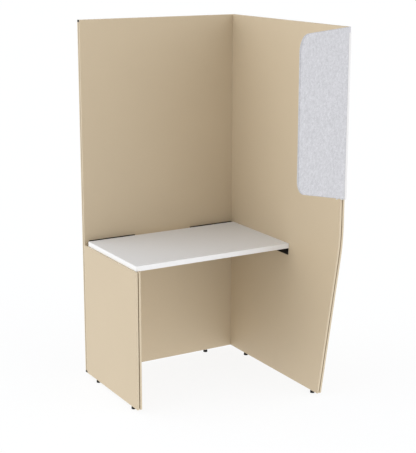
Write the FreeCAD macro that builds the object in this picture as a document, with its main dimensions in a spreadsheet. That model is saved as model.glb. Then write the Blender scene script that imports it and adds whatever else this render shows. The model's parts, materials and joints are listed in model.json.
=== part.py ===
import FreeCAD, Part
import Sketcher
import os
import re

# Driving sizes in millimetres, angles in degrees
VALUES = {
    # Whole booth: panels stand on levelling feet, z is height above the floor
    "booth_width": 886,
    "booth_depth": 990,
    "booth_height": 1813,
    "floor_gap": 16,
    # Panels: two face boards on a thinner core that is set back to leave a groove round the edge
    "board_thickness": 10,
    "groove_width": 5,
    "groove_depth": 8,
    "board_rounding": 1,
    # Tall side panel: its front edge is upright above the bend and slants back to the floor below it
    "bend_height": 816,
    "bend_radius": 940,
    "front_setback": 145,
    # Low side panel that carries the worktop's left end
    "low_panel_depth": 568,
    # Worktop: a board with a band on each edge
    "worktop_height": 720,
    "worktop_thickness": 25,
    "worktop_depth": 528,
    "worktop_side_inset": 10,
    "worktop_wall_gap": 1,
    "worktop_rear_gap": 25,
    "band_thickness": 2,
    # Steel angles under the worktop
    "bracket_thickness": 3,
    "bracket_drop": 35,
    "bracket_gap": 1,
    "rear_bracket_length": 255,
    "rear_bracket_leg": 65,
    "rear_bracket_top_gap": 2,
    "side_bracket_leg": 30,
    "side_bracket_setback": 5,
    "side_bracket_rear_gap": 75,
    "low_bracket_length": 320,
    # Screws with a low head and a hexagon socket
    "screw_head_radius": 4.5,
    "screw_head_height": 2.2,
    "screw_socket_flats": 3,
    "screw_socket_depth": 1.4,
    "screw_radius": 2,
    "wall_screw_length": 11,
    "worktop_screw_length": 17,
    "screw_clearance": 0.2,
    "screw_end_inset": 25,
    # Corner bolts that pull the side panels onto the back panel
    "bolt_radius": 3,
    "bolt_head_radius": 8,
    "bolt_head_height": 3,
    "bolt_socket_flats": 5,
    "bolt_socket_depth": 2,
    "bolt_reach": 22,
    "bolt_clearance": 0.3,
    "bolt_end_inset": 150,
    "low_bolt_end_inset": 110,
    # Steel nut blocks let into the panels for bolts and feet
    "block_thickness": 15,
    "block_width": 30,
    "block_depth": 30,
    # Levelling feet: a pad under a hexagon with a threaded stud
    "pad_radius": 11,
    "pad_height": 11,
    "pad_chamfer": 1.5,
    "stud_radius": 4,
    "stud_clearance": 0.3,
    "stud_engagement": 26,
    "foot_hexagon_flats": 13,
    "foot_seat_gap": 0.3,
    "low_foot_rear_inset": 108,
    "low_foot_front_inset": 65,
    "tall_foot_rear_inset": 140,
    "tall_foot_front_inset": 57,
    "back_foot_inset": 178,
    # Caps that close the groove ends of the back panel: a stem in the groove under a flush head
    "cap_length": 10,
    "cap_head_width": 21,
    "cap_head_depth": 2,
    # Felt screen at the tall panel's front edge: a wing that turns in across the booth's mouth
    "screen_angle": 115,
    "screen_thickness": 10,
    "screen_width": 437.5,
    "screen_height": 790,
    "screen_drop": 1,
    "screen_rise": 13.2,
    "screen_corner_radius": 72,
    "screen_overlap": 15.5,
    "screen_stand": 9.5,
    # Holder: a tongue in the panel's groove, a channel round the felt's edge and a flange behind the felt
    "flange_thickness": 2.5,
    "flange_length": 60,
    "flange_rise": 12,
    "channel_wall": 0.8,
    "channel_cover": 17.5,
    "tongue_width": 4.6,
    "tongue_depth": 7,
    "holder_top_drop": 26,
    "felt_screw_length": 9,
    "felt_screw_inset": 36,
    "felt_screw_end_inset": 70,
}

# Counts of fasteners
REAR_BRACKET_SCREWS = 3
SIDE_BRACKET_SCREWS = 4
LOW_BRACKET_SCREWS = 3
FELT_SCREWS = 4
HEXAGON_SIDES = 6

# How near two levels count as the same
FACE_TOLERANCE = 1e-4

# Places worked out from the driving sizes
PANEL = "(2 * board_thickness + groove_width)"
CHANNEL_END = "(screen_overlap + channel_wall)"
FLANGE_OUT = "(screen_stand + flange_thickness)"
FELT_OUT = f"({FLANGE_OUT} + screen_thickness)"
CHANNEL_FRONT = f"({FELT_OUT} + channel_wall)"
FREE_END = "(screen_width - screen_overlap)"
SCREEN_REACH = f"({FELT_OUT} * sin(screen_angle) - {FREE_END} * cos(screen_angle))"
LEFT = "(-booth_width / 2)"
RIGHT = "(booth_width / 2)"
REAR = f"((booth_depth + {SCREEN_REACH}) / 2)"
TALL_FRONT = f"({REAR} - booth_depth)"
BACK_FACE = f"({REAR} - {PANEL})"
RIGHT_FACE = f"({RIGHT} - {PANEL})"
LEFT_FACE = f"({LEFT} + {PANEL})"
LOW_FRONT = f"({BACK_FACE} - low_panel_depth)"
UNDERSIDE = "(worktop_height - worktop_thickness)"
WORKTOP_LEFT = f"({LEFT} + worktop_side_inset)"
WORKTOP_RIGHT = f"({RIGHT_FACE} - worktop_wall_gap)"
WORKTOP_REAR = f"({BACK_FACE} - worktop_rear_gap)"
WORKTOP_FRONT = f"({WORKTOP_REAR} - worktop_depth)"
SCREEN_BOTTOM = "(booth_height - screen_height)"
SLANT = "atan(front_setback / (bend_height - floor_gap))"

doc = FreeCAD.newDocument("OfficeBooth")
sizes = doc.addObject("Spreadsheet::Sheet", "Sizes")
for row, (alias, value) in enumerate(VALUES.items(), start=1):
    sizes.set(f"A{row}", alias)
    sizes.set(f"B{row}", str(value))
    sizes.setAlias(f"B{row}", alias)
doc.recompute()

pieces = {}


def bind(item, path, text):
    """Bind a property to an expression in which each named size is read from the sheet."""
    item.setExpression(path, re.sub(r"[a-z]\w*", from_sheet, text))


def from_sheet(word):
    """The sheet's name for a driving size; functions such as cos stay as they are."""
    return f"Sizes.{word.group()}" if word.group() in VALUES else word.group()


def place(item, base, angle=None):
    """Bind where an item stands and, if given, its turn about the axis it already has."""
    for axis, text in zip("xyz", base):
        bind(item, f"Placement.Base.{axis}", text)
    if angle:
        bind(item, "Placement.Rotation.Angle", angle)


def keep(label, item):
    """Give an item its name and count it as a piece of the booth."""
    item.Label = label
    pieces[label] = item
    return item


def box(name, base, extent):
    """A block with one corner at base and the given lengths along x, y and z."""
    block = doc.addObject("Part::Box", name)
    for side, text in zip(("Length", "Width", "Height"), extent):
        bind(block, side, text)
    place(block, base)
    return block


DIRECTIONS = {
    "+x": FreeCAD.Vector(1, 0, 0),
    "-x": FreeCAD.Vector(-1, 0, 0),
    "+y": FreeCAD.Vector(0, 1, 0),
    "-y": FreeCAD.Vector(0, -1, 0),
    "+z": FreeCAD.Vector(0, 0, 1),
    "-z": FreeCAD.Vector(0, 0, -1),
}
OPPOSITE = {"+x": "-x", "-x": "+x", "+y": "-y", "-y": "+y", "+z": "-z", "-z": "+z"}


def moved(base, direction, distance):
    """A place moved by a distance along a direction."""
    sign, axis = direction
    return tuple(f"{text} {sign} ({distance})" if name == axis else text for name, text in zip("xyz", base))


def rod(name, base, direction, radius, length):
    """A round rod that starts at base and runs along a direction."""
    cylinder = doc.addObject("Part::Cylinder", name)
    bind(cylinder, "Radius", radius)
    bind(cylinder, "Height", length)
    cylinder.Placement.Rotation = FreeCAD.Rotation(DIRECTIONS["+z"], DIRECTIONS[direction])
    place(cylinder, base)
    return cylinder


def hexagon_rod(name, base, direction, flats, length):
    """A six-sided rod of a width across flats that starts at base and runs along a direction."""
    prism = doc.addObject("Part::Prism", name)
    prism.Polygon = HEXAGON_SIDES
    bind(prism, "Circumradius", f"{flats} / 2 / cos(180 / {HEXAGON_SIDES})")
    bind(prism, "Height", length)
    prism.Placement.Rotation = FreeCAD.Rotation(DIRECTIONS["+z"], DIRECTIONS[direction])
    place(prism, base)
    return prism


def joined(name, items):
    """One solid from items that touch or overlap."""
    whole = doc.addObject("Part::MultiFuse", name)
    whole.Shapes = items
    whole.Refine = True
    return whole


def grouped(name, items):
    """Separate solids that share one item."""
    group = doc.addObject("Part::Compound", name)
    group.Links = items
    return group


def cut(name, item, tools):
    """An item with tools taken out of it."""
    result = doc.addObject("Part::Cut", name)
    result.Base = item
    result.Tool = tools[0] if len(tools) == 1 else grouped(f"{name}_tools", tools)
    return result


def sketch_on(body, name, role, outline):
    """A closed sketch of straight sides on one of the body's origin planes, every corner bound."""
    plane = next(item for item in body.Origin.OriginFeatures if item.Role == role)
    sketch = body.newObject("Sketcher::SketchObject", name)
    sketch.AttachmentSupport = [(plane, "")]
    sketch.MapMode = "FlatFace"
    count = len(outline)
    corners = [FreeCAD.Vector(index, index * index, 0) for index in range(count)]
    for index in range(count):
        sketch.addGeometry(Part.LineSegment(corners[index], corners[(index + 1) % count]))
    joins = []
    for index in range(count):
        joins.append(Sketcher.Constraint("Coincident", index, 2, (index + 1) % count, 1))
    sketch.addConstraint(joins)
    for index, corner in enumerate(outline):
        for kind, text in zip(("DistanceX", "DistanceY"), corner):
            number = sketch.addConstraint(Sketcher.Constraint(kind, -1, 1, index, 1, corners[index].x))
            bind(sketch, f"Constraints[{number}]", text)
    return sketch


def padded(name, role, outline, length, base, angle=None):
    """A body with an outline on an origin plane, thickened along +x, +y or +z by length."""
    body = doc.addObject("PartDesign::Body", name)
    sketch = sketch_on(body, f"{name}_outline", role, outline)
    pad = body.newObject("PartDesign::Pad", f"{name}_pad")
    pad.Profile = sketch
    pad.Reversed = role == "XZ_Plane"
    bind(pad, "Length", length)
    if angle:
        body.Placement.Rotation = FreeCAD.Rotation(DIRECTIONS["+z"], 1)
    place(body, base, angle)
    doc.recompute()
    return body


def rounded(body, name, parts, radius):
    """Round edges, or all edges of faces, of a body's last feature."""
    base = body.Tip
    fillet = body.newObject("PartDesign::Fillet", name)
    fillet.Base = (base, parts)
    bind(fillet, "Radius", radius)
    body.Tip = fillet
    doc.recompute()
    return body


def face_at(body, axis, end):
    """The name of a body's flat face at its Min or Max end along X or Y."""
    level = getattr(body.Shape.BoundBox, axis + end)
    for index, face in enumerate(body.Shape.Faces, start=1):
        ends = (getattr(face.BoundBox, axis + "Min"), getattr(face.BoundBox, axis + "Max"))
        if all(abs(value - level) < FACE_TOLERANCE for value in ends):
            return f"Face{index}"


def bend_edge(body):
    """The name of a side board's edge at the bend: the lowest of those at its front."""
    front = body.Shape.BoundBox.YMin
    edges = []
    for index, edge in enumerate(body.Shape.Edges, start=1):
        bounds = edge.BoundBox
        if bounds.YMax - front < FACE_TOLERANCE and bounds.ZLength < FACE_TOLERANCE:
            edges.append((bounds.ZMin, f"Edge{index}"))
    return min(edges)[1]


def board(name, role, outline, thickness, base, outer):
    """A board whose outer face, named by axis and end, has rounded edges."""
    body = padded(name, role, outline, thickness, base)
    return rounded(body, f"{name}_edges", [face_at(body, *outer)], "board_rounding")


def rectangle(across, up):
    """The corners of a rectangle between two limits each way."""
    return [(across[0], up[0]), (across[1], up[0]), (across[1], up[1]), (across[0], up[1])]


def spread(start, length, count):
    """Places along a length, the first and last set in from its ends."""
    step = f"({length} - 2 * screw_end_inset) / {count - 1}"
    return [f"{start} + screw_end_inset + {step} * {index}" for index in range(count)]


def screw(name, seat, direction, length):
    """A socket head screw whose head sits on seat and whose shank runs along a direction."""
    out = OPPOSITE[direction]
    head = rod(f"{name}_head", seat, out, "screw_head_radius", "screw_head_height")
    shank = rod(f"{name}_shank", seat, direction, "screw_radius", length)
    socket_end = moved(seat, out, "screw_head_height - screw_socket_depth")
    socket = hexagon_rod(f"{name}_socket", socket_end, out, "screw_socket_flats", "screw_socket_depth")
    return cut(name, joined(f"{name}_blank", [head, shank]), [socket])


def screw_hole(name, seat, direction, length):
    """The hole for such a screw, a clearance wider and deeper than its shank."""
    return rod(name, seat, direction, "screw_radius + screw_clearance", f"{length} + screw_clearance")


# Blanks of the boards, and what is cut out of each one
blanks = {}
cuts = {}


def take_out(tool, names):
    """Note a tool to be cut out of some of the pieces."""
    for name in names:
        cuts.setdefault(name, []).append(tool)


# Back panel
back_outline = rectangle((LEFT, RIGHT), ("floor_gap", "booth_height"))
back_core_outline = rectangle(
    (f"{LEFT} + groove_depth", f"{RIGHT} - groove_depth"),
    ("floor_gap + groove_depth", "booth_height - groove_depth"),
)
BACK_CORE = f"{BACK_FACE} + board_thickness"
BACK_REAR_BOARD = f"{REAR} - board_thickness"
blanks["back_front_board"] = board(
    "back_front_blank", "XZ_Plane", back_outline, "board_thickness", ("0", BACK_FACE, "0"), ("Y", "Min")
)
blanks["back_rear_board"] = board(
    "back_rear_blank", "XZ_Plane", back_outline, "board_thickness", ("0", BACK_REAR_BOARD, "0"), ("Y", "Max")
)
blanks["back_core"] = padded(
    "back_core_blank", "XZ_Plane", back_core_outline, "groove_width", ("0", BACK_CORE, "0")
)
BACK_BOARDS = ["back_front_board", "back_core", "back_rear_board"]


# Tall side panel
def tall_outline(inset):
    """The tall side's outline in y and z, set in from its front, top and bottom edges."""
    front = f"{TALL_FRONT} + {inset}"
    bend = f"(bend_height + {inset} * tan({SLANT} / 2))"
    low = f"(floor_gap + {inset})"
    foot = f"{front} + ({bend} - {low}) * tan({SLANT})"
    high = f"booth_height - {inset}"
    return [(BACK_FACE, low), (foot, low), (front, bend), (front, high), (BACK_FACE, high)]


def bent(body, name, radius):
    """A side board with its front edge rounded at the bend."""
    return rounded(body, name, [bend_edge(body)], radius)


TALL_LAYERS = {
    "tall_inner_board": (RIGHT_FACE, "board_thickness", "0"),
    "tall_core": (f"{RIGHT_FACE} + board_thickness", "groove_width", "groove_depth"),
    "tall_outer_board": (f"{RIGHT} - board_thickness", "board_thickness", "0"),
}
for name, (start, thickness, inset) in TALL_LAYERS.items():
    blank = padded(f"{name}_blank", "YZ_Plane", tall_outline(inset), thickness, (start, "0", "0"))
    blanks[name] = bent(blank, f"{name}_bend", f"bend_radius - {inset}")
TALL_OUTER_ENDS = {"tall_inner_board": "Min", "tall_outer_board": "Max"}
for name, end in TALL_OUTER_ENDS.items():
    rounded(blanks[name], f"{name}_edges", [face_at(blanks[name], "X", end)], "board_rounding")

# Low side panel
low_outline = rectangle((LOW_FRONT, BACK_FACE), ("floor_gap", UNDERSIDE))
low_core_outline = rectangle(
    (f"{LOW_FRONT} + groove_depth", BACK_FACE), ("floor_gap + groove_depth", UNDERSIDE)
)
blanks["low_outer_board"] = board(
    "low_outer_blank", "YZ_Plane", low_outline, "board_thickness", (LEFT, "0", "0"), ("X", "Min")
)
blanks["low_core"] = padded(
    "low_core_blank", "YZ_Plane", low_core_outline, "groove_width", (f"{LEFT} + board_thickness", "0", "0")
)
blanks["low_inner_board"] = board(
    "low_inner_blank",
    "YZ_Plane",
    low_outline,
    "board_thickness",
    (f"{LEFT_FACE} - board_thickness", "0", "0"),
    ("X", "Max"),
)

# Middle planes of the three panels
BACK_MIDDLE = f"({REAR} - {PANEL} / 2)"
TALL_MIDDLE = f"({RIGHT} - {PANEL} / 2)"
LOW_MIDDLE = f"({LEFT} + {PANEL} / 2)"

# Caps in the ends of the back panel's upright grooves
CAP_SIDES = {
    "left": (LEFT, LEFT),
    "right": (f"{RIGHT} - groove_depth", f"{RIGHT} - cap_head_depth"),
}
CAP_ENDS = {"bottom": "floor_gap", "top": "booth_height - cap_length"}
HEAD_FRONT = f"{BACK_MIDDLE} - cap_head_width / 2"
caps = []
for side, (stem_start, head_start) in CAP_SIDES.items():
    for end, low in CAP_ENDS.items():
        name = f"cap_{side}_{end}"
        stem_extent = ("groove_depth", "groove_width", "cap_length")
        stem = box(f"{name}_stem", (stem_start, BACK_CORE, low), stem_extent)
        head_extent = ("cap_head_depth", "cap_head_width", "cap_length")
        head = box(f"{name}_head", (head_start, HEAD_FRONT, low), head_extent)
        take_out(head, ["back_front_board", "back_rear_board"])
        caps.append(joined(name, [stem, head]))
keep("groove_caps", grouped("groove_caps", caps))

# Levelling feet, each with a nut block in its panel
TALL_FOOT_FRONT = f"{TALL_FRONT} + front_setback + tall_foot_front_inset"
TALL_BOARDS = list(TALL_LAYERS)
LOW_BOARDS = ["low_outer_board", "low_core", "low_inner_board"]
FEET = {
    "back_left": (f"{LEFT} + back_foot_inset", BACK_MIDDLE, BACK_BOARDS),
    "back_right": (f"{RIGHT} - back_foot_inset", BACK_MIDDLE, BACK_BOARDS),
    "tall_rear": (TALL_MIDDLE, f"{BACK_FACE} - tall_foot_rear_inset", TALL_BOARDS),
    "tall_front": (TALL_MIDDLE, TALL_FOOT_FRONT, TALL_BOARDS),
    "low_rear": (LOW_MIDDLE, f"{BACK_FACE} - low_foot_rear_inset", LOW_BOARDS),
    "low_front": (LOW_MIDDLE, f"{LOW_FRONT} + low_foot_front_inset", LOW_BOARDS),
}


def nut_block(name, centre, extent, bore, boards):
    """A block with a bore, let into the boards of a panel."""
    base = tuple(f"{middle} - {length} / 2" for middle, length in zip(centre, extent))
    block = box(f"{name}_block", base, extent)
    take_out(block, boards)
    return cut(name, block, [bore])


foot_blocks = []
for name, (x, y, boards) in FEET.items():
    along_panel = "block_width"
    across_panel = "block_thickness"
    plan = (along_panel, across_panel) if y == BACK_MIDDLE else (across_panel, along_panel)
    centre = (x, y, "floor_gap + block_depth / 2")
    bore = rod(f"{name}_bore", (x, y, "floor_gap"), "+z", "stud_radius + stud_clearance", "block_depth")
    foot_blocks.append(nut_block(f"{name}_nut", centre, (*plan, "block_depth"), bore, boards))

    top = "pad_height - pad_chamfer"
    disc = rod(f"{name}_disc", (x, y, "0"), "+z", "pad_radius", top)
    shoulder = doc.addObject("Part::Cone", f"{name}_shoulder")
    bind(shoulder, "Radius1", "pad_radius")
    bind(shoulder, "Radius2", "pad_radius - pad_chamfer")
    bind(shoulder, "Height", "pad_chamfer")
    place(shoulder, (x, y, top))
    keep(f"foot_pad_{name}", joined(f"foot_pad_{name}", [disc, shoulder]))

    hexagon_height = "floor_gap - foot_seat_gap - pad_height"
    hexagon = hexagon_rod(f"{name}_hexagon", (x, y, "pad_height"), "+z", "foot_hexagon_flats", hexagon_height)
    thread = rod(
        f"{name}_thread",
        (x, y, "floor_gap - foot_seat_gap"),
        "+z",
        "stud_radius",
        "foot_seat_gap + stud_engagement",
    )
    keep(f"foot_stud_{name}", joined(f"foot_stud_{name}", [hexagon, thread]))
keep("foot_nut_blocks", grouped("foot_nut_blocks", foot_blocks))

# Corner bolts, from the back panel's rear face into blocks in the side panels' rear ends
MID_HEIGHT = "(floor_gap + booth_height) / 2"
CORNERS = {
    "tall": (
        TALL_MIDDLE,
        ["floor_gap + bolt_end_inset", MID_HEIGHT, "booth_height - bolt_end_inset"],
        TALL_BOARDS,
    ),
    "low": (LOW_MIDDLE, ["floor_gap + low_bolt_end_inset", f"{UNDERSIDE} - low_bolt_end_inset"], LOW_BOARDS),
}
for corner, (x, heights, boards) in CORNERS.items():
    bolts = []
    blocks = []
    for index, z in enumerate(heights, start=1):
        name = f"{corner}_bolt_{index}"
        seat = (x, f"{REAR} - bolt_head_height", z)
        length = f"{PANEL} - bolt_head_height + bolt_reach"
        head = rod(f"{name}_head", seat, "+y", "bolt_head_radius", "bolt_head_height")
        shank = rod(f"{name}_shank", seat, "-y", "bolt_radius", length)
        socket_end = moved(seat, "+y", "bolt_head_height - bolt_socket_depth")
        socket = hexagon_rod(f"{name}_socket", socket_end, "+y", "bolt_socket_flats", "bolt_socket_depth")
        bolts.append(cut(name, joined(f"{name}_blank", [head, shank]), [socket]))
        recess_radius = "bolt_head_radius + bolt_clearance"
        recess = rod(f"{name}_recess", seat, "+y", recess_radius, "2 * bolt_head_height")
        way = rod(f"{name}_way", seat, "-y", "bolt_radius + bolt_clearance", f"{length} + bolt_clearance")
        take_out(recess, ["back_rear_board"])
        take_out(way, BACK_BOARDS)
        centre = (x, f"({BACK_FACE} - block_depth / 2)", z)
        extent = ("block_thickness", "block_depth", "block_width")
        blocks.append(nut_block(f"{name}_nut", centre, extent, way, boards))
    keep(f"{corner}_corner_bolts", grouped(f"{corner}_corner_bolts", bolts))
    keep(f"{corner}_corner_nuts", grouped(f"{corner}_corner_nuts", blocks))

# Worktop board and its edge bands
UP = (UNDERSIDE, "worktop_height")
INSIDE_DEPTH = "worktop_depth - 2 * band_thickness"
INSIDE_FRONT = f"{WORKTOP_FRONT} + band_thickness"
INSIDE_REAR = f"{WORKTOP_REAR} - band_thickness"
blanks["worktop_board"] = box(
    "worktop_blank",
    (f"{WORKTOP_LEFT} + band_thickness", INSIDE_FRONT, UNDERSIDE),
    (f"{WORKTOP_RIGHT} - {WORKTOP_LEFT} - 2 * band_thickness", INSIDE_DEPTH, "worktop_thickness"),
)
ACROSS = rectangle((WORKTOP_LEFT, WORKTOP_RIGHT), UP)
ALONG = rectangle((INSIDE_FRONT, INSIDE_REAR), UP)
BANDS = {
    "front_band": ("XZ_Plane", ACROSS, ("0", WORKTOP_FRONT, "0"), ("Y", "Min")),
    "rear_band": ("XZ_Plane", ACROSS, ("0", INSIDE_REAR, "0"), ("Y", "Max")),
    "left_band": ("YZ_Plane", ALONG, (WORKTOP_LEFT, "0", "0"), ("X", "Min")),
    "right_band": ("YZ_Plane", ALONG, (f"{WORKTOP_RIGHT} - band_thickness", "0", "0"), ("X", "Max")),
}
for name, (role, outline, base, outer) in BANDS.items():
    band = board(f"worktop_{name}", role, outline, "band_thickness", base, outer)
    keep(f"worktop_{name}", band)

# Steel angles: an upright leg screwed to a panel and a flat leg screwed to the worktop
LEG_TOP = f"{UNDERSIDE} - bracket_thickness"
LEG_LOW = f"{UNDERSIDE} - bracket_drop"
REAR_TOP = "worktop_height - rear_bracket_top_gap"
SCREW_LEVEL = f"{UNDERSIDE} - (bracket_drop + bracket_thickness) / 2"


def angle_section(face, sign, leg, top):
    """An angle's section against a panel face, its flat leg under the worktop."""
    skin = f"{face} {sign} bracket_thickness"
    tip = f"{face} {sign} {leg}"
    upper = [(face, LEG_LOW), (face, top), (skin, top), (skin, UNDERSIDE)]
    lower = [(tip, UNDERSIDE), (tip, LEG_TOP), (skin, LEG_TOP), (skin, LEG_LOW)]
    return upper + lower


def plain_angle_section(face, sign, leg):
    """An angle's section whose upright leg ends at the worktop's underside."""
    skin = f"{face} {sign} bracket_thickness"
    tip = f"{face} {sign} {leg}"
    return [
        (face, LEG_LOW),
        (face, UNDERSIDE),
        (tip, UNDERSIDE),
        (tip, LEG_TOP),
        (skin, LEG_TOP),
        (skin, LEG_LOW),
    ]


REAR_SECTION = angle_section(BACK_FACE, "-", "rear_bracket_leg", REAR_TOP)
REAR_STARTS = {
    "rear_bracket_left": f"({LEFT_FACE} + bracket_gap)",
    "rear_bracket_right": f"({RIGHT_FACE} - bracket_gap - rear_bracket_length)",
}
wall_screws = []
worktop_screws = []


def fasten(bracket, wall_board, wall_seat, wall_way, top_seat):
    """Screw a bracket to a panel's board and, from below, to the worktop."""
    number = len(wall_screws)
    wall_screws.append(screw(f"wall_screw_{number}", wall_seat, wall_way, "wall_screw_length"))
    hole = screw_hole(f"wall_hole_{number}", wall_seat, wall_way, "wall_screw_length")
    take_out(hole, [bracket, wall_board])
    worktop_screws.append(screw(f"worktop_screw_{number}", top_seat, "+z", "worktop_screw_length"))
    hole = screw_hole(f"worktop_hole_{number}", top_seat, "+z", "worktop_screw_length")
    take_out(hole, [bracket, "worktop_board"])


for name, start in REAR_STARTS.items():
    blanks[name] = padded(f"{name}_blank", "YZ_Plane", REAR_SECTION, "rear_bracket_length", (start, "0", "0"))
    for x in spread(start, "rear_bracket_length", REAR_BRACKET_SCREWS):
        wall_seat = (x, f"{BACK_FACE} - bracket_thickness", SCREW_LEVEL)
        top_seat = (x, f"{BACK_FACE} - (rear_bracket_leg + worktop_rear_gap) / 2", LEG_TOP)
        fasten(name, "back_front_board", wall_seat, "+y", top_seat)

SIDE_LENGTH = "(worktop_depth + worktop_rear_gap - side_bracket_setback - side_bracket_rear_gap)"
LOW_BRACKET_START = f"(({WORKTOP_FRONT} + {WORKTOP_REAR} - low_bracket_length) / 2)"
SIDE_BRACKETS = {
    "side_bracket": (
        RIGHT_FACE,
        "-",
        f"({WORKTOP_FRONT} + side_bracket_setback)",
        SIDE_LENGTH,
        "+x",
        "tall_inner_board",
        SIDE_BRACKET_SCREWS,
    ),
    "low_bracket": (
        LEFT_FACE,
        "+",
        LOW_BRACKET_START,
        "low_bracket_length",
        "-x",
        "low_inner_board",
        LOW_BRACKET_SCREWS,
    ),
}
for name, (face, sign, start, length, way, wall_board, count) in SIDE_BRACKETS.items():
    section = plain_angle_section(face, sign, "side_bracket_leg")
    blanks[name] = padded(f"{name}_blank", "XZ_Plane", section, length, ("0", start, "0"))
    for y in spread(start, length, count):
        wall_seat = (f"{face} {sign} bracket_thickness", y, SCREW_LEVEL)
        top_seat = (f"{face} {sign} (side_bracket_leg + bracket_thickness) / 2", y, LEG_TOP)
        fasten(name, wall_board, wall_seat, way, top_seat)
keep("wall_screws", grouped("wall_screws", wall_screws))
keep("worktop_screws", grouped("worktop_screws", worktop_screws))

# Felt screen and its holder, both measured from the tall panel's inner front corner
SINE = "sin(screen_angle)"
COSINE = "cos(screen_angle)"
SCREEN_TURN = "screen_angle - 90"


def beside(along, out):
    """A point from the inner front corner, along the felt into the booth and out from the panel."""
    return (f"-({along}) * {SINE} - ({out}) * {COSINE}", f"({along}) * {COSINE} - ({out}) * {SINE}")


COVER_END = "channel_cover - screen_overlap"
TONGUE_LEFT = f"({PANEL} - tongue_width) / 2"
TONGUE_RIGHT = f"({PANEL} + tongue_width) / 2"
channel_outline = [
    ("0", "0"),
    (TONGUE_LEFT, "0"),
    (TONGUE_LEFT, "tongue_depth"),
    (TONGUE_RIGHT, "tongue_depth"),
    (TONGUE_RIGHT, "0"),
    (beside(f"-{CHANNEL_END}", "screen_stand")[0], "0"),
    beside(f"-{CHANNEL_END}", "screen_stand"),
    beside(f"-{CHANNEL_END}", CHANNEL_FRONT),
    beside(COVER_END, CHANNEL_FRONT),
    beside(COVER_END, FELT_OUT),
    beside("-screen_overlap", FELT_OUT),
    beside("-screen_overlap", FLANGE_OUT),
    beside("0", FLANGE_OUT),
    beside("0", "screen_stand"),
]
flange_outline = [
    beside("0", "screen_stand"),
    beside("0", FLANGE_OUT),
    beside("flange_length", FLANGE_OUT),
    beside("flange_length", "screen_stand"),
]
HOLDER_HEIGHT = "(screen_height - holder_top_drop)"
channel = padded(
    "holder_channel", "XY_Plane", channel_outline, HOLDER_HEIGHT, (RIGHT_FACE, TALL_FRONT, SCREEN_BOTTOM)
)
flange = padded(
    "holder_flange",
    "XY_Plane",
    flange_outline,
    f"{HOLDER_HEIGHT} - flange_rise",
    (RIGHT_FACE, TALL_FRONT, f"{SCREEN_BOTTOM} + flange_rise"),
)
blanks["screen_holder"] = joined("screen_holder_blank", [channel, flange])

DROP = "screen_width * tan(screen_drop)"
RISE = "screen_width * tan(screen_rise)"
felt_outline = [
    ("screen_overlap", SCREEN_BOTTOM),
    ("screen_overlap", "booth_height"),
    (f"-{FREE_END}", f"booth_height - {DROP}"),
    (f"-{FREE_END}", f"{SCREEN_BOTTOM} + {RISE}"),
]
felt_x, felt_y = beside("0", FELT_OUT)
felt = padded(
    "felt_blank",
    "XZ_Plane",
    felt_outline,
    "screen_thickness",
    (f"{RIGHT_FACE} + {felt_x}", f"{TALL_FRONT} + {felt_y}", "0"),
    SCREEN_TURN,
)
level_edges = []
for index, edge in enumerate(felt.Shape.Edges, start=1):
    if edge.BoundBox.ZLength < FACE_TOLERANCE:
        level_edges.append((edge.CenterOfMass.x, f"Edge{index}"))
inner_corners = [name for x, name in sorted(level_edges)[:2]]
blanks["felt_screen"] = rounded(felt, "felt_corners", inner_corners, "screen_corner_radius")

felt_screws = []
felt_holes = []
FELT_SCREW_SPAN = f"({HOLDER_HEIGHT} - 2 * felt_screw_end_inset)"
for index in range(FELT_SCREWS):
    z = f"{SCREEN_BOTTOM} + felt_screw_end_inset + {FELT_SCREW_SPAN} * {index} / {FELT_SCREWS - 1}"
    seat = ("-felt_screw_inset", "-screen_stand", z)
    felt_screws.append(screw(f"felt_screw_{index}", seat, "-y", "felt_screw_length"))
    felt_holes.append(screw_hole(f"felt_hole_{index}", seat, "-y", "felt_screw_length"))
felt_screw_group = grouped("felt_screws", felt_screws)
felt_hole_group = grouped("felt_holes", felt_holes)
for group in (felt_screw_group, felt_hole_group):
    group.Placement.Rotation = FreeCAD.Rotation(DIRECTIONS["+z"], 1)
    place(group, (RIGHT_FACE, TALL_FRONT, "0"), SCREEN_TURN)
keep("felt_screws", felt_screw_group)
take_out(felt_hole_group, ["screen_holder", "felt_screen"])

# Every blank with its holes and pockets becomes a piece
for name, blank in blanks.items():
    keep(name, cut(name, blank, cuts[name]) if name in cuts else blank)

doc.recompute()
for item in doc.Objects:
    if "Invalid" in item.State or "Error" in item.State:
        raise RuntimeError(f"{item.Name} failed: {item.State}")
for label, item in pieces.items():
    if item.Shape.isNull() or not item.Shape.isValid():
        raise RuntimeError(f"{label} has no valid shape")

os.makedirs("parts", exist_ok=True)
for label, item in pieces.items():
    item.Shape.exportStep(f"parts/{label}.step")
    print(label, len(item.Shape.Solids), "solids", round(item.Shape.Volume), "mm3")
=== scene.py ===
import json
import math

import bmesh
import bpy
from mathutils import Matrix, Vector, geometry, noise


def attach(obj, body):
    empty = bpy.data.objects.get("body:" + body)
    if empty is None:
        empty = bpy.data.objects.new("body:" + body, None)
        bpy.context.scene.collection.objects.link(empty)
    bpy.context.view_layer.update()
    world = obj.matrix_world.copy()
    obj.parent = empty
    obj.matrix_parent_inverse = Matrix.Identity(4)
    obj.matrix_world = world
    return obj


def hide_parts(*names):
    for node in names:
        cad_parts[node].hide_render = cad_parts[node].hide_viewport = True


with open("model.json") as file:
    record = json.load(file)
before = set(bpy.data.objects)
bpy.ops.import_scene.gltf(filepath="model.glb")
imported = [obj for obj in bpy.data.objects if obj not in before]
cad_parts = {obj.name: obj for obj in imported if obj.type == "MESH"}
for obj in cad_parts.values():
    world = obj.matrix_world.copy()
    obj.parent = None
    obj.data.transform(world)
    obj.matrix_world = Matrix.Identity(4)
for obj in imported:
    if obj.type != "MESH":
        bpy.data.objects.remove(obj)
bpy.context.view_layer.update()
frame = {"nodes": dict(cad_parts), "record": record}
nodes = frame["nodes"]
MM = 0.001
TINY = 1e-6

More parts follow.
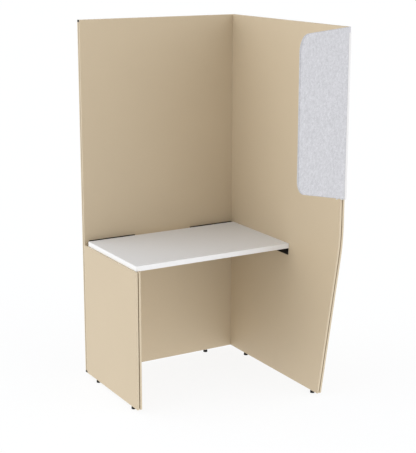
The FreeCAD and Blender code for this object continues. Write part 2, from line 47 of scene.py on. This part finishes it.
# Colours as linear red, green and blue
BEIGE = (0.650, 0.538, 0.380)
BEIGE_EDGE = (0.700, 0.595, 0.436)
CORE_BROWN = (0.165, 0.122, 0.072)
WORKTOP_WHITE = (0.835, 0.852, 0.885)
BAND_WHITE = (0.920, 0.925, 0.935)
FELT_GREY = (0.596, 0.598, 0.632)
HOLDER_WHITE = (0.780, 0.780, 0.780)
BLACK = (0.008, 0.008, 0.008)
ZINC = (0.620, 0.615, 0.600)

# Cells per metre of the noise in each finish
LAMINATE_PEARL_CELLS = 900.0
LAMINATE_PEEL_CELLS = 420.0
LAMINATE_CLOUD_CELLS = 3.0
CORE_CHIP_CELLS = 420.0
CORE_DUST_CELLS = 1500.0
WORKTOP_GRAIN_CELLS = 260.0
WORKTOP_PEARL_CELLS = 1100.0
BAND_MARK_CELLS = 900.0
BAND_HAZE_CELLS = 40.0
FELT_TUFT_CELLS = 115.0
FELT_FUZZ_CELLS = 1600.0
FELT_FIBRE_CELLS = 520.0
EXTRUSION_LINE_CELLS = 1400.0
EXTRUSION_HAZE_CELLS = 60.0
COAT_PEEL_CELLS = 700.0
COAT_SPECK_CELLS = 2600.0
NYLON_GRAIN_CELLS = 1800.0
NYLON_SCUFF_CELLS = 160.0
ZINC_CLOUD_CELLS = 220.0
ZINC_SCRATCH_CELLS = 2400.0

# Factors on the cells along x, y and z, where a small one draws them out
CORE_CHIP_FACTORS = (1.0, 1.0, 0.35)
WORKTOP_GRAIN_FACTORS = (0.12, 1.0, 1.0)
BAND_MARK_FACTORS = (1.0, 1.0, 0.05)
FELT_TUFT_FACTORS = (0.6, 0.6, 0.72)
EXTRUSION_LINE_FACTORS = (1.0, 1.0, 0.004)
NYLON_SCUFF_FACTORS = (1.0, 1.0, 3.0)
ZINC_SCRATCH_FACTORS = (1.0, 0.15, 1.0)

# Heights of the bumps in each finish
LAMINATE_PEEL_HEIGHT = 0.05 * MM
LAMINATE_PEARL_HEIGHT = 0.02 * MM
CORE_CHIP_HEIGHT = 0.25 * MM
WORKTOP_PEARL_HEIGHT = 0.03 * MM
WORKTOP_GRAIN_HEIGHT = 0.03 * MM
BAND_MARK_HEIGHT = 0.015 * MM
FELT_FIBRE_HEIGHT = 0.5 * MM
FELT_TUFT_HEIGHT = 0.4 * MM
EXTRUSION_LINE_HEIGHT = 0.02 * MM
COAT_PEEL_HEIGHT = 0.08 * MM
COAT_SPECK_HEIGHT = 0.03 * MM
NYLON_GRAIN_HEIGHT = 0.05 * MM
ZINC_SCRATCH_HEIGHT = 0.02 * MM

# Felt: the angles that its fibres lie at in degrees, how many times longer than wide they are, and its sheen
FIBRE_TILTS = (8.0, 41.0, 77.0, 112.0, 151.0)
FIBRE_STRETCH = 12.0
FELT_SHEEN = 0.25
FELT_SHEEN_ROUGHNESS = 0.6

# Noise between these values is mapped to a range
NOISE_LOW = 0.25
NOISE_HIGH = 0.75

# A panel's face is an edge where less than this share of its normal lies along the panel's thin axis
EDGE_NORMAL_SHARE = 0.7


def feed(tree, socket, value):
    """Link an output to a socket, or set the socket's own value."""
    if isinstance(value, bpy.types.NodeSocket):
        tree.links.new(value, socket)
    else:
        socket.default_value = value


def arithmetic(tree, operation, first, second):
    """One step of arithmetic on two numbers or outputs in a node tree."""
    made = tree.nodes.new("ShaderNodeMath")
    made.operation = operation
    feed(tree, made.inputs[0], first)
    feed(tree, made.inputs[1], second)
    return made.outputs["Value"]


class Finish:
    """A node material on a Principled shader, with short calls for the nodes that all finishes share."""

    def __init__(self, name, metallic=0.0, specular=0.5):
        self.material = bpy.data.materials.new(name)
        self.material.use_nodes = True
        self.tree = self.material.node_tree
        self.shader = self.tree.nodes["Principled BSDF"]
        self.shader.inputs["Metallic"].default_value = metallic
        self.shader.inputs["Specular IOR Level"].default_value = specular
        self.place = self.tree.nodes.new("ShaderNodeTexCoord").outputs["Object"]

    def node(self, kind, **inputs):
        """A new node with some of its inputs linked or set; input names use _ for a space."""
        made = self.tree.nodes.new(kind)
        for name, value in inputs.items():
            feed(self.tree, made.inputs[name.replace("_", " ")], value)
        return made

    def stretched(self, scale):
        """Object coordinates stretched by a factor along each axis."""
        return self.node("ShaderNodeMapping", Vector=self.place, Scale=scale).outputs["Vector"]

    def laid(self, turn, tilt, stretch):
        """Object coordinates drawn out along a line: level, turned about z, then tilted off level."""
        made = self.node("ShaderNodeMapping", Vector=self.place)
        made.vector_type = "TEXTURE"
        made.inputs["Rotation"].default_value = (0.0, tilt, turn)
        made.inputs["Scale"].default_value = (stretch, 1.0, 1.0)
        return made.outputs["Vector"]

    def noise(self, scale, detail=2.0, vector=None):
        """Smooth noise with scale in cells per metre."""
        made = self.node("ShaderNodeTexNoise", Vector=vector or self.place, Scale=scale, Detail=detail)
        return made.outputs["Fac"]

    def ramp(self, value, low, high):
        """Map noise about its middle to a range of numbers."""
        made = self.node("ShaderNodeMapRange", Value=value, From_Min=NOISE_LOW, From_Max=NOISE_HIGH)
        made.inputs["To Min"].default_value = low
        made.inputs["To Max"].default_value = high
        return made.outputs["Result"]

    def math(self, operation, first, second):
        """One step of arithmetic on two numbers or outputs."""
        return arithmetic(self.tree, operation, first, second)

    def mix(self, factor, first, second):
        """A colour between two colours."""
        made = self.node("ShaderNodeMix")
        made.data_type = "RGBA"
        feed(self.tree, made.inputs["Factor"], factor)
        for socket, colour in zip(("A", "B"), (first, second)):
            target = next(s for s in made.inputs if s.name == socket and s.type == "RGBA")
            target.default_value = (*colour, 1.0)
        return next(s for s in made.outputs if s.type == "RGBA")

    def lit(self, colour, factor):
        """A colour made lighter or darker by a factor."""
        made = self.node("ShaderNodeVectorMath")
        made.operation = "SCALE"
        feed(self.tree, made.inputs[0], colour)
        feed(self.tree, made.inputs["Scale"], factor)
        return made.outputs["Vector"]

    def bump(self, height, distance, below=None):
        """A bump of some height in metres, on top of another one if given."""
        made = self.node("ShaderNodeBump", Height=height, Distance=distance)
        if below:
            feed(self.tree, made.inputs["Normal"], below)
        return made.outputs["Normal"]

    def finish(self, colour, roughness, normal):
        """Feed the shader and give back the material."""
        for name, value in {"Base Color": colour, "Roughness": roughness, "Normal": normal}.items():
            feed(self.tree, self.shader.inputs[name], value)
        return self.material


def laminate(name, thin_axis):
    """Matt beige melamine with a fine pearl grain, a shade lighter on the narrow edges."""
    f = Finish(name, specular=0.35)
    pearl = f.noise(LAMINATE_PEARL_CELLS, detail=3.0)
    cloud = f.noise(LAMINATE_CLOUD_CELLS, detail=3.0)
    tone = f.math("MULTIPLY", f.ramp(pearl, 0.965, 1.035), f.ramp(cloud, 0.985, 1.015))
    normal = f.node("ShaderNodeNewGeometry").outputs["Normal"]
    parts = f.node("ShaderNodeSeparateXYZ", Vector=normal)
    facing = f.math("ABSOLUTE", parts.outputs[thin_axis], 0.0)
    edge = f.math("LESS_THAN", facing, EDGE_NORMAL_SHARE)
    base = f.mix(edge, BEIGE, BEIGE_EDGE)
    peel = f.noise(LAMINATE_PEEL_CELLS, detail=2.0)
    relief = f.bump(peel, LAMINATE_PEEL_HEIGHT, below=f.bump(pearl, LAMINATE_PEARL_HEIGHT))
    return f.finish(f.lit(base, tone), f.ramp(peel, 0.46, 0.60), relief)


def core(name):
    """Dark pressed chips of wood at the bottom of the grooves."""
    f = Finish(name, specular=0.2)
    place = f.stretched(CORE_CHIP_FACTORS)
    chips = f.node("ShaderNodeTexVoronoi", Vector=place, Scale=CORE_CHIP_CELLS).outputs["Distance"]
    dust = f.noise(CORE_DUST_CELLS, detail=3.0)
    tone = f.math("MULTIPLY", f.ramp(chips, 0.75, 1.20), f.ramp(dust, 0.85, 1.15))
    return f.finish(f.lit(CORE_BROWN, tone), 0.85, f.bump(chips, CORE_CHIP_HEIGHT))


def worktop(name):
    """White melamine with a faint grain along the board."""
    f = Finish(name, specular=0.4)
    grain = f.noise(WORKTOP_GRAIN_CELLS, detail=4.0, vector=f.stretched(WORKTOP_GRAIN_FACTORS))
    pearl = f.noise(WORKTOP_PEARL_CELLS, detail=2.0)
    tone = f.math("MULTIPLY", f.ramp(grain, 0.985, 1.012), f.ramp(pearl, 0.985, 1.015))
    relief = f.bump(pearl, WORKTOP_PEARL_HEIGHT, below=f.bump(grain, WORKTOP_GRAIN_HEIGHT))
    return f.finish(f.lit(WORKTOP_WHITE, tone), f.ramp(grain, 0.40, 0.52), relief)


def band(name):
    """Satin white edge band with fine trimming marks across it."""
    f = Finish(name, specular=0.45)
    marks = f.noise(BAND_MARK_CELLS, detail=2.0, vector=f.stretched(BAND_MARK_FACTORS))
    haze = f.noise(BAND_HAZE_CELLS, detail=2.0)
    tone = f.math("MULTIPLY", f.ramp(marks, 0.985, 1.015), f.ramp(haze, 0.99, 1.01))
    return f.finish(f.lit(BAND_WHITE, tone), f.ramp(haze, 0.34, 0.44), f.bump(marks, BAND_MARK_HEIGHT))


def felt_face():
    """The way that the felt board's front face looks."""
    faces = [p for p in nodes["felt_screen"].data.polygons if p.normal.y < 0]
    return max(faces, key=lambda p: p.area).normal.copy()


def felt(name):
    """Pressed felt: pale and darker tufts over fibres that lie at all angles, matt, with a soft sheen."""
    f = Finish(name, specular=0.1)
    f.shader.inputs["Sheen Weight"].default_value = FELT_SHEEN
    f.shader.inputs["Sheen Roughness"].default_value = FELT_SHEEN_ROUGHNESS
    tufts = f.noise(FELT_TUFT_CELLS, detail=2.0, vector=f.stretched(FELT_TUFT_FACTORS))
    fuzz = f.noise(FELT_FUZZ_CELLS, detail=3.0)
    tone = f.math("MULTIPLY", f.ramp(fuzz, 0.93, 1.07), f.ramp(tufts, 0.90, 1.10))
    height = fuzz
    out = felt_face()
    for tilt in FIBRE_TILTS:
        lines = f.laid(math.atan2(out.x, -out.y), math.radians(tilt), FIBRE_STRETCH)
        fibres = f.noise(FELT_FIBRE_CELLS, detail=3.0, vector=lines)
        tone = f.math("MULTIPLY", tone, f.ramp(fibres, 0.93, 1.07))
        height = f.math("ADD", height, fibres)
    relief = f.bump(height, FELT_FIBRE_HEIGHT, below=f.bump(tufts, FELT_TUFT_HEIGHT))
    return f.finish(f.lit(FELT_GREY, tone), 0.95, relief)


def extrusion(name):
    """White plastic drawn through a die, with faint lines along its length."""
    f = Finish(name, specular=0.45)
    lines = f.noise(EXTRUSION_LINE_CELLS, detail=2.0, vector=f.stretched(EXTRUSION_LINE_FACTORS))
    haze = f.noise(EXTRUSION_HAZE_CELLS, detail=2.0)
    tone = f.math("MULTIPLY", f.ramp(lines, 0.98, 1.02), f.ramp(haze, 0.99, 1.01))
    relief = f.bump(lines, EXTRUSION_LINE_HEIGHT)
    return f.finish(f.lit(HOLDER_WHITE, tone), f.ramp(lines, 0.34, 0.46), relief)


def powder_coat(name):
    """Black powder coat with its fine orange peel."""
    f = Finish(name, specular=0.08)
    peel = f.noise(COAT_PEEL_CELLS, detail=2.0)
    speck = f.noise(COAT_SPECK_CELLS, detail=2.0)
    tone = f.math("MULTIPLY", f.ramp(peel, 0.85, 1.15), f.ramp(speck, 0.8, 1.2))
    relief = f.bump(peel, COAT_PEEL_HEIGHT, below=f.bump(speck, COAT_SPECK_HEIGHT))
    return f.finish(f.lit(BLACK, tone), f.ramp(peel, 0.45, 0.6), relief)


def moulded(name):
    """Black nylon with a fine eroded texture and scuffs."""
    f = Finish(name, specular=0.15)
    grain = f.noise(NYLON_GRAIN_CELLS, detail=2.0)
    scuffs = f.noise(NYLON_SCUFF_CELLS, detail=4.0, vector=f.stretched(NYLON_SCUFF_FACTORS))
    tone = f.math("MULTIPLY", f.ramp(grain, 0.85, 1.15), f.ramp(scuffs, 0.8, 1.4))
    return f.finish(f.lit(BLACK, tone), f.ramp(scuffs, 0.45, 0.62), f.bump(grain, NYLON_GRAIN_HEIGHT))


def zinc(name):
    """Zinc plated steel with a cloudy, finely scratched surface."""
    f = Finish(name, metallic=1.0)
    cloud = f.noise(ZINC_CLOUD_CELLS, detail=3.0)
    scratches = f.noise(ZINC_SCRATCH_CELLS, detail=2.0, vector=f.stretched(ZINC_SCRATCH_FACTORS))
    tone = f.math("MULTIPLY", f.ramp(cloud, 0.88, 1.10), f.ramp(scratches, 0.94, 1.06))
    return f.finish(f.lit(ZINC, tone), f.ramp(cloud, 0.28, 0.42), f.bump(scratches, ZINC_SCRATCH_HEIGHT))


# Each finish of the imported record, one material for all nodes of a slot
SLOTS = {entry["node"]: entry["material_slot"] for entry in frame["record"]["subparts"]}
FINISHES = {
    "core_board": core("core_board"),
    "worktop_laminate": worktop("worktop_laminate"),
    "edge_band": band("edge_band"),
    "black_steel": powder_coat("black_steel"),
    "zinc_steel": zinc("zinc_steel"),
    "foot_plastic": moulded("foot_plastic"),
    "cap_plastic": moulded("cap_plastic"),
    "grey_felt": felt("grey_felt"),
    "holder_plastic": extrusion("holder_plastic"),
}
# The back panel is thin along y, the side panels along x
PANEL_FINISHES = {
    "Y": laminate("panel_laminate_back", "Y"),
    "X": laminate("panel_laminate_side", "X"),
}
for name, obj in nodes.items():
    finish = FINISHES.get(SLOTS[name]) or PANEL_FINISHES["Y" if name.startswith("back") else "X"]
    obj.data.materials.clear()
    obj.data.materials.append(finish)


# Felt screen: soft rounded edges and a slightly uneven face, in the space of the CAD board. The step lies
# between the mesh's columns, and between its rows on a column of the row length. All columns spread them alike.
FELT_ROUNDING = 3.0 * MM
FELT_STEP = 5.0 * MM
FELT_DENT = 0.35 * MM
FELT_DENT_SIZE = 26.0 * MM
FELT_PILL_SIZE = 7.0 * MM
FELT_PILL_SHARE = 0.4
FELT_ROW_LENGTH = 730.0 * MM
EDGE_SHARES = (0.0, 0.08, 0.3, 0.65, 1.0)


def counterclockwise(outline):
    """The same outline with its inside on the left."""
    area = sum(x0 * y1 - x1 * y0 for (x0, y0), (x1, y1) in zip(outline, outline[1:] + outline[:1]))
    return outline if area > 0 else outline[::-1]


def stations(length):
    """Places along a length, close together where the edge rounds off and evenly spaced between."""
    ends = [FELT_ROUNDING * share for share in EDGE_SHARES]
    middle = length - 2 * FELT_ROUNDING
    count = max(2, round(middle / FELT_STEP))
    between = [FELT_ROUNDING + middle * index / count for index in range(1, count)]
    return ends + between + [length - place for place in reversed(ends)]


def crossing(outline, across, upper):
    """The height at which a convex outline is crossed at a place across it, on its upper or lower side."""
    heights = []
    for (x0, y0), (x1, y1) in zip(outline, outline[1:] + outline[:1]):
        if min(x0, x1) - TINY <= across <= max(x0, x1) + TINY:
            if abs(x1 - x0) < TINY:
                heights += [y0, y1]
            else:
                heights.append(y0 + (y1 - y0) * (across - x0) / (x1 - x0))
    return max(heights) if upper else min(heights)


def depth_inside(outline, point):
    """How far a point lies inside a convex outline that runs counterclockwise."""
    depths = []
    for start, end in zip(outline, outline[1:] + outline[:1]):
        side = Vector(end) - Vector(start)
        if side.length > TINY:
            depths.append(side.normalized().cross(Vector(point) - Vector(start)))
    return max(0.0, min(depths))


def dent(place):
    """How far the felt's face lies under its board's face at a place."""
    broad = noise.noise(place / FELT_DENT_SIZE)
    pill = noise.noise(place / FELT_PILL_SIZE)
    return FELT_DENT * (0.5 + 0.5 * ((1 - FELT_PILL_SHARE) * broad + FELT_PILL_SHARE * pill))


def make_felt():
    """The felt board as one closed mesh of even quads, front and back faces meeting in rounded edges."""
    board = nodes["felt_screen"].data
    out = felt_face()
    up = Vector((0.0, 0.0, 1.0))
    along = up.cross(out)
    points = [v.co for v in board.vertices]
    flat = [Vector((p.dot(along), p.z)) for p in points]
    outline = counterclockwise([tuple(flat[i]) for i in geometry.convex_hull_2d(flat)])
    depths = [p.dot(out) for p in points]
    middle = (min(depths) + max(depths)) / 2
    half = (max(depths) - min(depths)) / 2
    low = min(x for x, y in outline)
    columns = [low + place for place in stations(max(x for x, y in outline) - low)]
    rows = [place / FELT_ROW_LENGTH for place in stations(FELT_ROW_LENGTH)]

    shape = bmesh.new()
    grids = {}
    for sign in (1, -1):
        for i, across in enumerate(columns):
            bottom = crossing(outline, across, False)
            top = crossing(outline, across, True)
            for j, share in enumerate(rows):
                point = (across, bottom + (top - bottom) * share)
                inside = min(depth_inside(outline, point), FELT_ROUNDING)
                drop = FELT_ROUNDING - math.sqrt(FELT_ROUNDING**2 - (FELT_ROUNDING - inside) ** 2)
                place = along * point[0] + up * point[1]
                height = half - drop - dent(place * sign) * inside / FELT_ROUNDING
                grids[sign, i, j] = shape.verts.new(place + out * (middle + sign * height))
    last_column = len(columns) - 1
    last_row = len(rows) - 1
    for sign in (1, -1):
        for i in range(last_column):
            for j in range(last_row):
                corners = [(i, j), (i + 1, j), (i + 1, j + 1), (i, j + 1)]
                face = [grids[sign, a, b] for a, b in (corners if sign > 0 else reversed(corners))]
                shape.faces.new(face)
    rim = [(i, 0) for i in range(last_column)] + [(last_column, j) for j in range(last_row)]
    rim += [(i, last_row) for i in range(last_column, 0, -1)] + [(0, j) for j in range(last_row, 0, -1)]
    for first, second in zip(rim, rim[1:] + rim[:1]):
        shape.faces.new([grids[-1, *first], grids[-1, *second], grids[1, *second], grids[1, *first]])
    bmesh.ops.remove_doubles(shape, verts=shape.verts, dist=TINY)
    bmesh.ops.recalc_face_normals(shape, faces=shape.faces)
    for face in shape.faces:
        face.smooth = True
    mesh = bpy.data.meshes.new("felt_board")
    shape.to_mesh(mesh)
    shape.free()
    mesh.materials.append(FINISHES["grey_felt"])
    piece = bpy.data.objects.new("felt_board", mesh)
    bpy.context.scene.collection.objects.link(piece)
    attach(piece, "booth")
    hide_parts("felt_screen")


make_felt()


# Camera, fitted to the straight edges of the photograph
CAMERA_PLACE = (-2766.29 * MM, -4646.89 * MM, 2202.35 * MM)
CAMERA_YAW = 30.23
CAMERA_PITCH = -13.58
CAMERA_ROLL = 0.09
CAMERA_LENS = 93.01
CAMERA_SHIFT_UP = -0.0158
CAMERA_SIGHT = 500.0
# A camera that isn't turned looks straight down
LEVEL_TILT = 90.0


def make_camera():
    """A camera turned to the right by the yaw, down by the pitch and then by the roll."""
    data = bpy.data.cameras.new("camera")
    camera = bpy.data.objects.new("camera", data)
    bpy.context.scene.collection.objects.link(camera)
    turn = Matrix.Rotation(math.radians(-CAMERA_YAW), 4, "Z")
    tilt = Matrix.Rotation(math.radians(LEVEL_TILT + CAMERA_PITCH), 4, "X")
    roll = Matrix.Rotation(math.radians(CAMERA_ROLL), 4, "Z")
    camera.matrix_world = Matrix.Translation(CAMERA_PLACE) @ turn @ tilt @ roll
    data.lens = CAMERA_LENS
    data.shift_y = CAMERA_SHIFT_UP
    data.clip_end = CAMERA_SIGHT
    bpy.context.scene.camera = camera


# Stage: a white floor and soft light from all round, brightest at the left rear and the right front
FLOOR_HALF = 80.0
FLOOR_WHITE = (0.160, 0.165, 0.172)
FLOOR_GLOW = 0.862
DIAGONAL = 0.707
LIGHT_LOBES = {
    "right_front": {"way": (DIAGONAL, -DIAGONAL, 0.0), "strength": 1.68},
    "left_rear": {"way": (-DIAGONAL, DIAGONAL, 0.0), "strength": 1.28},
    "left": {"way": (-1.0, 0.0, 0.0), "strength": 0.82},
    "above": {"way": (0.0, 0.0, 1.0), "strength": 0.71},
    "front_below": {"way": (0.0, -DIAGONAL, -DIAGONAL), "strength": 0.505},
}
LIGHT_BASE = 0.02
LOBE_POWER = 2.0


def seen_directly(tree):
    """1 for camera, glossy and transmitted rays, and 0 for the rays that light surfaces."""
    path = tree.nodes.new("ShaderNodeLightPath")
    total = path.outputs["Is Camera Ray"]
    for name in ("Is Glossy Ray", "Is Transmission Ray"):
        total = arithmetic(tree, "MAXIMUM", total, path.outputs[name])
    return total


def light_lobe(tree, way, strength):
    """Light that is strongest along a way and fades to nothing square to it."""
    facing = tree.nodes.new("ShaderNodeVectorMath")
    facing.operation = "DOT_PRODUCT"
    tree.links.new(tree.nodes.new("ShaderNodeTexCoord").outputs["Generated"], facing.inputs[0])
    facing.inputs[1].default_value = way
    towards = arithmetic(tree, "MAXIMUM", facing.outputs["Value"], 0.0)
    return arithmetic(tree, "MULTIPLY", arithmetic(tree, "POWER", towards, LOBE_POWER), strength)


def make_world():
    """White where it is seen, and soft light with a few broad lobes where it lights the booth."""
    world = bpy.data.worlds.new("studio")
    bpy.context.scene.world = world
    world.use_nodes = True
    tree = world.node_tree
    light = LIGHT_BASE
    for lobe in LIGHT_LOBES.values():
        light = arithmetic(tree, "ADD", light_lobe(tree, **lobe), light)
    strength = tree.nodes.new("ShaderNodeMapRange")
    tree.links.new(seen_directly(tree), strength.inputs["Value"])
    tree.links.new(light, strength.inputs["To Min"])
    strength.inputs["To Max"].default_value = 1.0
    background = tree.nodes["Background"]
    background.inputs["Color"].default_value = (1.0, 1.0, 1.0, 1.0)
    tree.links.new(strength.outputs["Result"], background.inputs["Strength"])


def make_floor():
    """A pale floor that keeps the booth's soft shadow and runs into the white surroundings."""
    shape = bmesh.new()
    bmesh.ops.create_grid(shape, x_segments=1, y_segments=1, size=FLOOR_HALF)
    mesh = bpy.data.meshes.new("floor")
    shape.to_mesh(mesh)
    shape.free()
    floor = bpy.data.objects.new("floor", mesh)
    bpy.context.scene.collection.objects.link(floor)
    material = bpy.data.materials.new("floor")
    material.use_nodes = True
    tree = material.node_tree
    tree.nodes.remove(tree.nodes["Principled BSDF"])
    diffuse = tree.nodes.new("ShaderNodeBsdfDiffuse")
    diffuse.inputs["Color"].default_value = (*FLOOR_WHITE, 1.0)
    glow = tree.nodes.new("ShaderNodeEmission")
    tree.links.new(arithmetic(tree, "MULTIPLY", seen_directly(tree), FLOOR_GLOW), glow.inputs["Strength"])
    both = tree.nodes.new("ShaderNodeAddShader")
    tree.links.new(diffuse.outputs["BSDF"], both.inputs[0])
    tree.links.new(glow.outputs["Emission"], both.inputs[1])
    tree.links.new(both.outputs["Shader"], tree.nodes["Material Output"].inputs["Surface"])
    mesh.materials.append(material)
    # The floor takes the booth's shadow and lets the soft light from below reach the booth
    floor.visible_diffuse = False
    floor.visible_shadow = False


make_camera()
make_world()
make_floor()
bpy.context.scene.view_settings.view_transform = "Standard"
